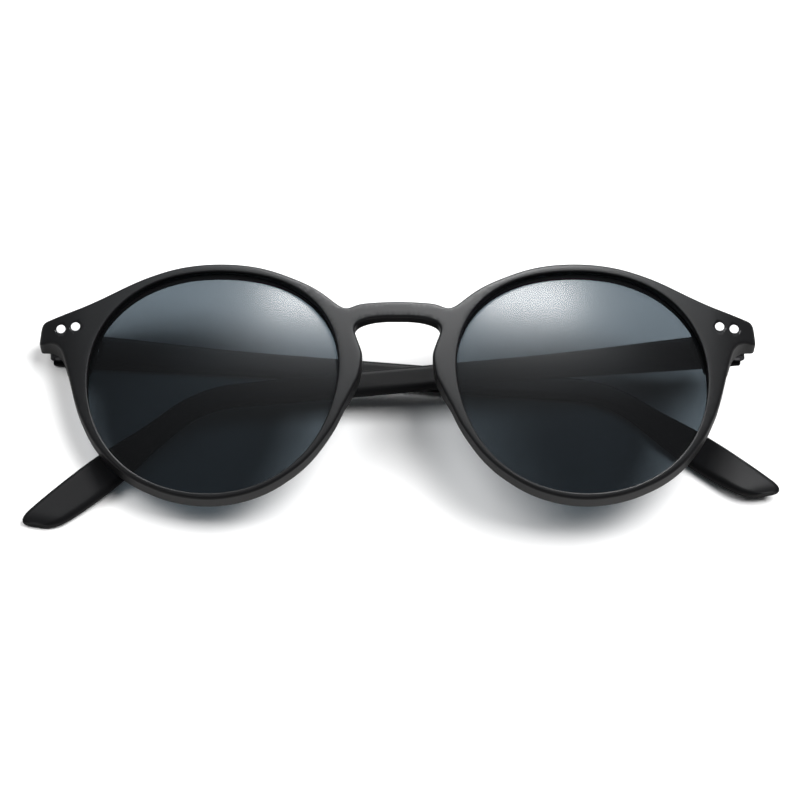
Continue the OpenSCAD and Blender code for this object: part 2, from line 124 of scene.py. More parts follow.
def even_loop(points: Array, step: float, passes: int) -> Array:
    """Spaces a closed loop evenly and rounds its corners.

    Args:
        points: the loop, without its first point repeated.
        step: the spacing.
        passes: how many rounding passes it gets.

    Returns:
        The new loop.
    """
    closed = np.vstack([points, points[:1]])
    far = np.concatenate([[0], np.cumsum(np.linalg.norm(np.diff(closed, axis=0), axis=1))])
    at = np.linspace(0, far[-1], int(round(far[-1] / step)), endpoint=False)
    loop = np.stack([np.interp(at, far, closed[:, i]) for i in range(2)], axis=1)
    for _ in range(passes):
        loop = 0.25 * np.roll(loop, 1, 0) + 0.5 * loop + 0.25 * np.roll(loop, -1, 0)
    return loop


def inside(points: Array, loop: Array) -> Array:
    """Tells which points lie inside a closed loop.

    Args:
        points: the points to test.
        loop: the loop.

    Returns:
        Whether each point is inside.
    """
    x, y = points[:, 0], points[:, 1]
    found = np.zeros(len(points), bool)
    for (ax, ay), (bx, by) in zip(loop, np.roll(loop, -1, 0)):
        if ay != by:
            found ^= ((ay > y) != (by > y)) & (x < (bx - ax) * (y - ay) / (by - ay) + ax)
    return found


def outside(points: Array, *loops: Array) -> Array:
    """The points that lie outside every loop."""
    return points[~np.any([inside(points, loop) for loop in loops], axis=0)]


def between(points: Array, loops: Sequence[Array]) -> Array:
    """Tells which points lie inside the first loop and outside the others."""
    return inside(points, loops[0]) & ~np.any([inside(points, hole) for hole in loops[1:]], axis=0)


def place_new(name: str, data: bpy.types.ID) -> Object:
    """Makes an object of some data and links it to the scene."""
    obj = bpy.data.objects.new(name, data)
    bpy.context.scene.collection.objects.link(obj)
    return obj


@dataclass(frozen=True)
class FaceFrame:
    """The front's own axes in the part's frame, and how far each arm opens, degrees."""

    origin: Vector
    x: Vector
    y: Vector
    z: Vector
    left_turn: float = 90.0
    right_turn: float = 90.0

    @classmethod
    def plain(cls) -> "FaceFrame":
        """The part's own axes."""
        return cls(Vector(), *(Vector(row) for row in np.eye(3)))

    @classmethod
    def from_joints(cls, joints: Sequence[dict], hinge: "HingeSizes") -> "FaceFrame":
        """Works the axes out from the hinges.

        Args:
            joints: the part's joints.
            hinge: where the hinges are on the front.

        Returns:
            The face frame.
        """
        by_name = {j["name"]: j for j in joints}
        left, right = by_name["arm_left_hinge"], by_name["arm_right_hinge"]
        a, b = Vector(left["pos_m"]), Vector(right["pos_m"])
        x = (a - b).normalized()
        y = Vector(right["axis"])
        y = (y - x * y.dot(x)).normalized()
        z = x.cross(y)
        origin = (a + b) / 2 - (y * hinge.y + z * hinge.z) * MM
        return cls(origin, x, y, z, left["range_deg"][1], right["range_deg"][1])

    @property
    def axes(self) -> Array:
        """The three axes as rows."""
        return np.array([self.x, self.y, self.z])

    def place(self, points: Array) -> Array:
        """Points in the part's frame, in metres, from points on the face in millimetres."""
        return np.asarray(points, float) @ self.axes * MM + np.array(self.origin)

    def turn(self, direction: Sequence[float]) -> Vector:
        """A direction in the part's frame."""
        return Vector(np.asarray(direction, float) @ self.axes)


class Skin:
    """Gathers the points and faces of one mesh."""

    def __init__(self) -> None:
        """Starts an empty skin."""
        self.points: list[Array] = []
        self.faces: list[tuple[int, ...]] = []
        self.slots: list[int] = []
        self.count = 0

    def add(self, points: Array) -> Array:
        """Adds points and gives their numbers."""
        self.points.append(np.asarray(points, float))
        self.count += len(points)
        return np.arange(self.count - len(points), self.count)

    def face(self, corners: Sequence[int], slot: int = 0) -> None:
        """Adds one face."""
        self.faces.append(tuple(int(c) for c in corners))
        self.slots.append(slot)

    def rings(self, rings: Sequence[Array], slot: int = 0) -> None:
        """Joins closed rings of as many points one after another with four-sided faces.

        Args:
            rings: the rings, as numbers of points.
            slot: the faces' material.
        """
        for a, b in zip(rings, rings[1:]):
            for i in range(len(a)):
                j = (i + 1) % len(a)
                self.face((a[i], a[j], b[j], b[i]), slot)

    def tube(self, rings: Sequence[Array]) -> None:
        """Joins closed rings and closes both ends."""
        self.rings(rings)
        self.face(rings[0][::-1])
        self.face(rings[-1])

    def build(
        self,
        name: str,
        frame: FaceFrame,
        finishes: Sequence[Material] = (),
        angle: float = SHARP,
    ) -> Object:
        """Turns the skin into a Blender object.

        Args:
            name: the object's name.
            frame: where the face is.
            finishes: the materials, by slot.
            angle: edges sharper than this stay sharp, degrees.

        Returns:
            The object, linked to the scene.
        """
        mesh = bpy.data.meshes.new(name)
        mesh.from_pydata(frame.place(np.vstack(self.points)).tolist(), [], self.faces)
        for finish in finishes:
            mesh.materials.append(finish)
        mesh.polygons.foreach_set("material_index", self.slots)
        obj = place_new(name, mesh)
        tidy(obj, angle)
        log.info("%s: %d faces", name, len(obj.data.polygons))
        return obj


def tidy(obj: Object, angle: float = SHARP) -> None:
    """Merges doubles, turns normals outward and smooths the shading.

    Args:
        obj: the mesh object.
        angle: edges sharper than this stay sharp, degrees.
    """
    bm = bmesh.new()
    bm.from_mesh(obj.data)
    bmesh.ops.remove_doubles(bm, verts=bm.verts, dist=MERGE)
    bmesh.ops.recalc_face_normals(bm, faces=bm.faces)
    bm.to_mesh(obj.data)
    bm.free()
    obj.data.shade_smooth()
    obj.data.set_sharp_from_angle(angle=math.radians(angle))
    obj.modifiers.new("flat", "WEIGHTED_NORMAL").keep_sharp = True
    bake(obj)


def bake(obj: Object) -> None:
    """Replaces a piece's mesh by what its modifiers make of it, and removes them.

    Args:
        obj: the piece.
    """
    depsgraph = bpy.context.evaluated_depsgraph_get()
    new = bpy.data.meshes.new_from_object(obj.evaluated_get(depsgraph))
    obj.modifiers.clear()
    old, name = obj.data, obj.data.name
    obj.data = new
    bpy.data.meshes.remove(old)
    new.name = name


def cut(obj: Object, tools: Sequence[Object], angle: float = SHARP) -> None:
    """Cuts tools out of a piece and removes the tools.

    Args:
        obj: the piece.
        tools: the solids to cut away.
        angle: edges sharper than this stay sharp, degrees.
    """
    for tool in tools:
        change = obj.modifiers.new("cut", "BOOLEAN")
        change.operation = "DIFFERENCE"
        change.solver = "EXACT"
        change.object = tool
        bake(obj)
        bpy.data.objects.remove(tool)
    tidy(obj, angle)
    log.info("%s cut: %d faces", obj.name, len(obj.data.polygons))


def add_box(skin: Skin, xs: Sequence[float], ys: Sequence[float], zs: Sequence[float]) -> None:
    """Adds a box to a skin from its limits along each axis.

    Args:
        skin: the mesh so far.
        xs: its two ends along X.
        ys: its two ends along Y.
        zs: its two ends along Z.
    """
    corners = skin.add(np.array([(x, y, z) for z in zs for y in ys for x in xs]))
    sides = ((0, 1, 3, 2), (4, 6, 7, 5), (0, 4, 5, 1), (2, 3, 7, 6), (0, 2, 6, 4), (1, 5, 7, 3))
    for side in sides:
        skin.face(corners[list(side)])


def add_lathe(
    skin: Skin, profile: Sequence[Pair], centre: Sequence[float], axis: str = "Z", sides: int = 48
) -> None:
    """Adds a turned solid to a skin.

    Args:
        skin: the mesh so far.
        profile: radius and height of each ring, from the bottom to the top.
        centre: where height 0 is.
        axis: "Z" or "Y", the axis of the turning.
        sides: how many sides it has.
    """
    turn = np.linspace(0, 2 * math.pi, sides, endpoint=False)
    order = [0, 2, 1] if axis == "Y" else [0, 1, 2]
    rings = []
    for r, h in profile:
        ring = np.stack([r * np.cos(turn), r * np.sin(turn), np.full(sides, h)], axis=1)
        rings.append(skin.add(ring[:, order] + np.asarray(centre, float)))
    skin.tube(rings)


@dataclass(frozen=True)
class HingeSizes:
    """Where the hinges, their pockets and the rivets are."""

    inset: float = 3.3
    y: float = 13.7
    z: float = -16.6
    knuckle_room: float = 1.75
    knuckle_half: float = 9.0
    leaf_h: float = 3.66
    leaf_in: float = 5.63
    leaf_front: float = -13.97
    leaf_past: float = 0.01
    pocket_back: float = -20.0
    rivet_r: float = 1.02
    rivet_h: float = 0.7
    rivets_in: Pair = (4.0, 1.1)
    over: float = 4.0  # How far a rivet's seat is cut past the face.
    head_room: float = 0.1
    head_rim: float = 0.1
    head_proud: float = 0.03
    worn: float = 0.3  # How far the rim's corner is worn, in parts of the rim.
    shank_r: float = 0.6
    shank_front: float = 4.0
    shank_arm: float = 2.5
    sharp: float = 20.0


@dataclass(frozen=True)
class LensSizes:
    """One lens and its opening."""

    x: float = 35.3
    r: float = 24.14
    ball_r: float = 90.0
    thick: float = 1.9
    recess: float = 1.7
    groove: float = 0.6
    fit: float = 0.05
    room: float = 0.03
    around: int = 144
    across: int = 40
    sharp: float = 30.0
    # Departures from a circle: how many waves go round, their cosine and their sine part.
    waves: tuple[Triple, ...] = (
        (1, 0.0104, 0.0191), (2, 0.0157, 0.0124), (3, 0.0, 0.0203), (4, -0.0128, -0.0046),
    )  # fmt: skip


@dataclass(frozen=True)
class FrontSizes:
    """The front's own sizes."""

    ball_r: float = 260.0
    depth: float = 4.0
    reach: float = 80.0  # Farther out than this the back no longer deepens with the slope.
    bridge_top: float = 15.45
    bridge_low: float = 11.95
    bridge_depth: float = 3.0
    scoop_r: float = 50.0
    scoop_x: Pair = (16.0, 20.0)  # Half width of the hollow, and where its arc goes level.
    scoop_rise: Pair = (-3.6, -2.4)  # It starts between these heights over bridge_low.
    nose: float = 6.75
    top_w: float = 1.8
    side_w: float = 2.9
    low_w: float = 1.25
    nose_w: float = 2.2
    pad_r: float = 2.6
    pad_len: float = 6.5
    pad_h: float = 3.1
    pad_stand: float = 0.3
    pad_out: float = 1.157
    pad_lean: float = 14.0
    pad_spread: Pair = (0.95, 1.4)  # Along and across, in parts of pad_len and pad_r.
    pad_power: float = 1.6
    end_len: float = 7.56
    end_top: float = 15.7
    end_low: float = 11.2
    end_back: float = 15.4
    flank_x: Pair = (1.706, 1.23)  # Start and end of the inner flank, in parts of end_len.
    flank_z: float = 0.727  # Its depth at the start, in parts of end_back.
    block_rise: Pair = (-0.4, 0.8)  # The block starts between these heights over end_low / 2.
    roll_w: float = 9.4
    roll_r: float = 30.0
    round_out: float = 0.5
    round_in: float = 0.3
    round_back: float = 0.4
    round_least: float = 0.12
    round_tight: float = 0.7  # The most rounding, in parts of a tight bend's radius.
    round_slope: float = 0.06  # The most that the rounding changes from point to point.
    round_steps: int = 5
    round_reach: int = 5  # How many points to each side the rounding looks.
    least_turn: float = 1e-6  # A smaller turn counts as none.
    spacing: float = 0.42
    steps: int = 8
    passes: int = 2
    near: float = 1e-4  # Outline points nearer than this are one.
    grid: float = 1.0
    grid_row: float = 0.866
    grid_half: float = 28.0
    grid_clear: float = 0.45
    grid_near: float = 1e-7  # Points of the net nearer than this are one.
    # Where the outline is softened, with edges that fade between two places, and how often.
    soft_in: Pair = (11.0, 14.0)
    soft_out: Pair = (58.0, 63.0)
    soft_up: Pair = (8.0, 12.0)
    soft_passes: int = 40
    # The bridge's top from the middle out, in parts of the lens's inner X and of bridge_top.
    bridge_line: Pairs = (
        (0, 1), (0.39, 0.99), (0.66, 0.968), (0.87, 0.913), (1.02, 0.958), (1.24, 1.081),
    )  # fmt: skip
    # What closes it inside the rim, in parts of the lens's inner X and of bridge_low.
    bridge_close: Pairs = ((1.43, 1), (1.25, 0))
    # The nose gap up to the middle, in parts of nose and of bridge_low.
    nose_line: Pairs = (
        (1.4, -0.46), (1.27, -0.335), (1.1, -0.06), (1.014, 0.2), (1, 0.35), (1.086, 0.52),
        (1.22, 0.77), (1.13, 0.9), (0.78, 0.975), (0.37, 1), (0, 1),
    )  # fmt: skip
    nose_from: float = -1.0  # Below this height the rim makes the outline.
    # The endpiece's top, in parts of the way across and up from the rim to the corner.
    end_line: Pairs = ((0, 0), (0.26, 0.325), (0.52, 0.615), (0.79, 0.81), (1, 0.925))
    # The rest of the endpiece, in parts of end_len from its end and of end_low.
    end_side: Pairs = (
        (0.04, 1.357), (0, 1.018), (0.02, 1), (0.304, 1), (0.476, 0.9375), (0.608, 0.821),
        (0.668, 0.705), (0.747, 0.527), (0.86, 0.232), (0.979, -0.09), (1.574, -0.09),
    )  # fmt: skip
    end_angle: float = 54.0  # Where the endpiece's top meets the rim, degrees.
    end_corner: float = 0.1
    end_close: float = 0.9
    # Arcs of the rim: all of it, what shows above and what shows below; from, to, step.
    arcs: tuple[Triple, ...] = ((0, 360, 0.5), (150, 54.2, -0.5), (366, 165, -0.5))


class Lens:
    """A tinted lens with a domed face and a hollow back, and the outline of its opening."""

    def __init__(self, sizes: LensSizes, ball_r: float, frame: FaceFrame) -> None:
        """Takes the lens's sizes, the radius of the front's ball and where the face is."""
        self.sizes, self.frame = sizes, frame
        rim_r = ball_r - sizes.recess
        turn = math.asin(sizes.x / rim_r)
        far = math.sqrt(rim_r**2 - sizes.r**2) - math.sqrt(sizes.ball_r**2 - sizes.r**2)
        self.centre = np.array([far * math.sin(turn), 0.0, far * math.cos(turn) - ball_r])

    def ring(self, angle: Array, grow: float | Array, scale: float = 1.0) -> Array:
        """The opening's outline in plan, a circle with small waves.

        Args:
            angle: the angles round it, from the temple side at 0.
            grow: how much wider it is made.
            scale: the scale after that.

        Returns:
            One point for each angle.
        """
        r = np.ones_like(angle, float)
        for n, cosine, sine in self.sizes.waves:
            r = r + cosine * np.cos(n * angle) + sine * np.sin(n * angle)
        r = (self.sizes.r * r + grow) * scale
        return np.stack([self.sizes.x + r * np.cos(angle), r * np.sin(angle)], axis=1)

    def height(self, plan: Array, deeper: float) -> Array:
        """Height of a lens surface, set this much inside the lens's face."""
        d = plan - self.centre[:2]
        r = self.sizes.ball_r - deeper
        return self.centre[2] + np.sqrt(r * r - (d * d).sum(1))

    def build(self, side: Side, finishes: Sequence[Material]) -> Object:
        """Makes the lens.

        Args:
            side: the wearer's side.
            finishes: the finishes of the face, the back and the edge.

        Returns:
            The lens as one object.
        """
        g = self.sizes
        skin, edges = Skin(), []
        turn = np.linspace(0, 2 * math.pi, g.around, endpoint=False)
        middle = np.array([[g.x, 0.0]])
        for slot, deeper in ((0, 0.0), (1, g.thick)):
            rings = []
            for k in range(g.across + 1):
                plan = self.ring(turn, g.groove - g.room, k / g.across) if k else middle
                points = np.column_stack([plan, self.height(plan, deeper)])
                rings.append(skin.add(points * (side.value, 1, 1)))
            for i in range(g.around):
                skin.face((rings[0][0], rings[1][i], rings[1][(i + 1) % g.around]), slot)
            skin.rings(rings[1:], slot)
            edges.append(rings[-1])
        skin.rings(edges, 2)
        return skin.build(f"lens_glass_{side.word}", self.frame, finishes, g.sharp)


class FrontFrame:
    """The black front: both rims, the bridge, the endpieces and the nose pads in one piece."""

    def __init__(self, sizes: FrontSizes, lens: Lens, hinge: HingeSizes) -> None:
        """Takes the sizes that the shape comes from."""
        self.sizes, self.lens, self.hinge, self.frame = sizes, lens, hinge, lens.frame
        s, g = sizes, lens.sizes
        self.half_w = g.x + g.r + s.side_w + s.end_len
        self.hinge_x = self.half_w - hinge.inset
        self.roll_x = self.half_w - s.roll_w
        slope = math.asin(self.roll_x / s.ball_r)
        self.roll_cx = self.roll_x - s.roll_r * math.sin(slope)
        edge = float(self.ball(np.array([self.roll_x]), np.array([hinge.y]))[0])
        self.roll_cz = edge - s.roll_r * math.cos(slope)

    def ball(self, x: Array, y: Array) -> Array:
        """Height of the front's ball."""
        return np.sqrt(self.sizes.ball_r**2 - x * x - y * y) - self.sizes.ball_r

    def front(self, plan: Array) -> Array:
        """Height of the front surface, rolled back towards each temple.

        Args:
            plan: places in plan.

        Returns:
            The height at each place.
        """
        x, y = np.abs(plan[:, 0]), plan[:, 1]
        far = np.maximum(x, self.roll_x)
        rolled = self.roll_cz + np.sqrt(self.sizes.roll_r**2 - (far - self.roll_cx) ** 2)
        level = self.ball(far, np.full_like(y, self.hinge.y))
        return self.ball(x, y) - np.where(x > self.roll_x, level - rolled, 0.0)

    def back(self, plan: Array) -> Array:
        """Height of the back surface: rims, bridge hollow, nose pads and endpieces.

        Args:
            plan: places in plan.

        Returns:
            The height at each place.
        """
        s = self.sizes
        x, y = np.abs(plan[:, 0]), plan[:, 1]
        slope = np.arcsin(np.minimum(np.hypot(x, y), s.reach) / s.ball_r)
        z = self.ball(x, y) - s.depth / np.cos(slope)
        arc = np.sqrt(s.scoop_r**2 - np.minimum(x, s.scoop_x[1]) ** 2)
        scoop = -s.bridge_depth - s.scoop_r + arc
        mix = smooth_step(y, *(s.bridge_low + rise for rise in s.scoop_rise))
        z = np.where(x < s.scoop_x[0], z + mix * np.maximum(scoop - z, 0.0), z)
        z = z - s.pad_h * self._pad(x, y)
        start, full = (self.half_w - s.end_len * part for part in s.flank_x)
        flank = s.flank_z + (x - start) / (full - start) * (1 - s.flank_z)
        block = -s.end_back * np.minimum(flank, 1.0)
        mix = smooth_step(y, *(s.end_low / 2 + rise for rise in s.block_rise))
        return np.where((x > start) & (block < z), z + mix * (block - z), z)

    def _pad(self, x: Array, y: Array) -> Array:
        """How much a nose pad swells, from 0 round it to 1 in its middle.

        Args:
            x: distances from the middle of the front.
            y: heights.

        Returns:
            The swelling at each place.
        """
        s = self.sizes
        lean = math.radians(s.pad_lean)
        along = np.array([-math.sin(lean), math.cos(lean)])
        away = np.stack([x - (s.nose * s.pad_out + s.pad_r - s.pad_stand), y], 1)
        far, side = away @ along, away @ np.array([along[1], -along[0]])
        long, wide = s.pad_spread
        off = (far / (s.pad_len * long)) ** 2 + (side / (s.pad_r * wide)) ** 2
        return np.maximum(1 - off, 0.0) ** s.pad_power

    def rim(self, angle: Array) -> Array:
        """Outer outline of a rim in plan, from the temple side at 0.

        Args:
            angle: the angles round it.

        Returns:
            One point for each angle.
        """
        s = self.sizes
        widths = (
            (0, s.side_w), (50, s.side_w * 0.86), (62, s.top_w), (105, s.top_w),
            (125, s.top_w * 0.88), (140, s.top_w * 1.41), (152, s.nose_w * 1.5),
            (180, s.nose_w * 1.82), (195, s.nose_w), (212, s.nose_w * 0.68),
            (235, s.low_w * 0.85), (270, s.low_w), (300, s.low_w * 0.85),
            (330, s.low_w * 1.2), (345, s.side_w * 0.69), (360, s.side_w),
        )  # fmt: skip
        return self.lens.ring(angle, np.interp(np.degrees(angle) % 360, *np.array(widths).T))

    def outline(self) -> Array:
        """The whole outline of the front in plan, as one loop, softened where the rims join."""
        s, half_w = self.sizes, self.half_w
        lens_in = self.lens.sizes.x - self.lens.sizes.r
        top = smooth_line(np.array(s.bridge_line) * (lens_in, s.bridge_top), s.steps)
        nose = smooth_line(np.array(s.nose_line) * (s.nose, s.bridge_low), s.steps)
        bridge = np.vstack([top, np.array(s.bridge_close) * (lens_in, s.bridge_low), nose])
        rim_end = self.rim(np.radians([s.end_angle]))[0]
        corner = np.array([half_w - s.end_len * s.end_corner, s.end_top])
        end_top = smooth_line(rim_end + (corner - rim_end) * np.array(s.end_line), s.steps)
        end_side = np.array(s.end_side) * (-s.end_len, s.end_low) + (half_w, 0)
        end = np.vstack([end_top, end_side, rim_end * (1, s.end_close)])
        ring, upper, lower = (self.rim(np.radians(np.arange(*arc))) for arc in s.arcs)
        keep = (
            (top, ring), (upper, bridge, end), (end_top, ring), (end_side[:-1], ring),
            (lower, end, bridge), (nose[nose[:, 1] > s.nose_from], ring),
        )  # fmt: skip
        half = np.vstack([outside(*lines) for lines in keep])
        moved = np.linalg.norm(np.diff(half, axis=0), axis=1) > s.near
        half = half[np.concatenate([[True], moved])]
        other = half[::-1] * (-1, 1)
        loop = even_loop(np.vstack([half, other[1:-1]]), s.spacing, s.passes)
        x, y = np.abs(loop[:, 0]), loop[:, 1]
        soft = smooth_step(x, *s.soft_in) * smooth_step(-x, -s.soft_out[1], -s.soft_out[0])
        soft = (soft * smooth_step(y, *s.soft_up))[:, None]
        for _ in range(s.soft_passes):
            mean = (np.roll(loop, 1, 0) + np.roll(loop, -1, 0)) / 2
            loop = loop + soft * 0.5 * (mean - loop)
        return loop

    def _edge(
        self, skin: Skin, loop: Array, top: bool, radius: float
    ) -> tuple[list[Array], Array]:
        """Rounds one edge of one loop.

        Args:
            skin: the mesh so far.
            loop: the loop in plan, with the material on its right.
            top: whether it is the front edge.
            radius: how round the edge is.

        Returns:
            The rings from the wall to the flat, and the last ring in plan.
        """
        along = np.roll(loop, -1, 0) - np.roll(loop, 1, 0)
        along /= np.linalg.norm(along, axis=1)[:, None]
        inward = np.stack([along[:, 1], -along[:, 0]], axis=1)
        room = self._room(loop, radius)
        surface, sign = (self.front, -1.0) if top else (self.back, 1.0)
        rings, plan = [], loop
        for a in np.radians(np.linspace(0, 90, self.sizes.round_steps)):
            plan = loop + inward * room[:, None] * (1 - math.cos(a))
            z = surface(plan) + sign * room * (1 - math.sin(a))
            rings.append(skin.add(np.column_stack([plan, z])))
        return rings, plan

    def _room(self, loop: Array, radius: float) -> Array:
        """How round the edge can be at each point, less where the loop turns tightly inward.

        Args:
            loop: the loop in plan, with the material on its right.
            radius: the wanted radius.

        Returns:
            One radius for each point.
        """
        s = self.sizes
        a, b = loop - np.roll(loop, 1, 0), np.roll(loop, -1, 0) - loop
        long_a, long_b = np.linalg.norm(a, axis=1), np.linalg.norm(b, axis=1)
        turn = (a[:, 1] * b[:, 0] - a[:, 0] * b[:, 1]) / (long_a * long_b)
        bend = np.maximum(turn, s.least_turn) / long_b
        room = np.clip(s.round_tight / bend, s.round_least, radius)
        for k in range(1, s.round_reach + 1):
            near = np.minimum(np.roll(room, k), np.roll(room, -k)) + s.round_slope * k
            room = np.minimum(room, near)
        return room

    def _fill(self, skin: Skin, rings: list[Array], plans: list[Array], top: bool) -> None:
        """Covers the area between the innermost rings with an even net.

        Args:
            skin: the mesh so far.
            rings: numbers of the rings' points, the outline first.
            plans: the same rings in plan.
            top: whether it is the front surface.
        """
        s, half = self.sizes, self.half_w
        xs = np.arange(-half, half, s.grid)
        ys = np.arange(-s.grid_half, s.grid_half, s.grid * s.grid_row)
        net = np.array([(x + (j % 2) * s.grid / 2, y) for j, y in enumerate(ys) for x in xs])
        net = net[between(net, plans)]
        edge = np.vstack(plans)
        near = np.array([np.min(((edge - point) ** 2).sum(1)) for point in net])
        net = net[near > (s.grid_clear * s.grid) ** 2]
        surface = self.front if top else self.back
        numbers = np.concatenate([*rings, skin.add(np.column_stack([net, surface(net)]))])
        lines, start = [], 0
        for plan in plans:
            n = len(plan)
            lines += [(start + i, start + (i + 1) % n) for i in range(n)]
            start += n
        flat = np.vstack([edge, net])
        made = delaunay_2d_cdt([Vector(p) for p in flat], lines, [], 0, s.grid_near)
        names = [o[0] if o else -1 for o in made[3]]
        faces = [[names[i] for i in f] for f in made[2]]
        faces = [f for f in faces if min(f) >= 0]
        middle = np.array([flat[f].mean(0) for f in faces])
        for good, f in zip(between(middle, plans), faces):
            if good:
                skin.face(numbers[f])

    def _skin(self) -> Skin:
        """The whole front before its pockets are cut."""
        s, lens = self.sizes, self.lens
        g, skin = lens.sizes, Skin()
        turn = np.linspace(0, 2 * math.pi, int(2 * math.pi * g.r / s.spacing), endpoint=False)
        opening, grown = (lens.ring(turn, grow) for grow in (0.0, g.groove))
        loops = [(self.outline(), None), (opening, grown)]
        loops.append((opening[::-1] * (-1, 1), grown[::-1] * (-1, 1)))
        tops, backs = [], []
        for loop, groove in loops:
            tops.append(self._edge(skin, loop, True, s.round_out if groove is None else s.round_in))
            backs.append(self._edge(skin, loop, False, s.round_back))
            front_rings, back_rings = tops[-1][0], backs[-1][0]
            skin.rings(front_rings)
            skin.rings(back_rings)
            wall = [front_rings[0]]
            if groove is not None:
                low = g.thick + g.fit
                for ring, down in ((loop, -g.fit), (groove, -g.fit), (groove, low), (loop, low)):
                    right = np.column_stack([np.abs(ring[:, 0]), ring[:, 1]])
                    wall.append(skin.add(np.column_stack([ring, lens.height(right, down)])))
            skin.rings([*wall, back_rings[0]])
        for edges, top in ((tops, True), (backs, False)):
            self._fill(skin, [rings[-1] for rings, _ in edges], [plan for _, plan in edges], top)
        return skin

    def _tools(self) -> list[Object]:
        """The pockets for leaves, knuckles and rivets, as solids to cut away."""
        h, x = self.hinge, self.hinge_x
        leaves, barrels, holes = Skin(), Skin(), Skin()
        for side in Side:
            across = (side.value * (x - h.leaf_in), side.value * (x + h.leaf_past))
            up = (h.y - h.leaf_h / 2, h.y + h.leaf_h / 2)
            add_box(leaves, across, up, (h.pocket_back, h.leaf_front))
            rod = [(h.knuckle_room, -h.knuckle_half), (h.knuckle_room, h.knuckle_half)]
            add_lathe(barrels, rod, (side.value * x, h.y, h.z), "Y")
            for inset in h.rivets_in:
                top = float(self.front(np.array([[x - inset, h.y]]))[0])
                rod = [(h.rivet_r, top - h.rivet_h), (h.rivet_r, top + h.over)]
                add_lathe(holes, rod, (side.value * (x - inset), h.y, 0.0))
        named = (("leaf_pockets", leaves), ("knuckle_pockets", barrels), ("rivet_seats", holes))
        return [skin.build(name, self.frame) for name, skin in named]

    def build(self, plastic: Material) -> Object:
        """Makes the front.

        Args:
            plastic: the finish.

        Returns:
            The front as one object.
        """
        obj = self._skin().build("front_shell", self.frame, [plastic])
        cut(obj, self._tools())
        return obj


@dataclass(frozen=True)
class ArmSizes:
    """An arm's sizes, with what differs between the two arms as adjusted."""

    length: float = 146.4
    thick: float = 2.7
    edge_r: float = 1.1
    gap_in: float = 0.3
    butt: float = 0.9
    butt_edge: Pairs = ((0.0, 0.25), (0.07, 0.07))  # Way along and shrink of its rounded end.
    bend_r: float = 22.0
    bend_deg: float = 34.8
    # Height of the arm, against the part of its length from the hinge.
    heights: Pairs = (
        (0, 6.8), (0.07, 6.596), (0.25, 5.0), (0.45, 5.1), (0.56, 5.1),
        (0.67, 4.7), (0.785, 4.7), (0.875, 7.0), (0.95, 7.0), (1.02, 5.2),
    )  # fmt: skip
    tip_round: float = 1.5
    tip_long: float = 3.0
    tip_slant: float = 0.86
    slant_len: float = 13.0
    leaf_far: float = 7.93
    leaf_near: float = -3.0
    leaf_z: Pair = (-1.0, 1.13)
    rivets: Pair = (3.4, 6.3)
    over: float = 2.0
    bend_at: float = 98.5
    droop: float = 6.9
    curl: float = 1.0
    curl_at: Pair = (0.635, 0.375)  # Start and length of the curl, in parts of the length.
    ring_step: float = 1.2
    corner_points: int = 6
    height_steps: int = 12
    tip_turn: tuple[float, float, int] = (15, 90, 6)  # From, to (degrees) and how many rings.
    side_points: Pair = (0.75, -0.75)
    thin_most: float = 0.8
    sharp: float = 50.0


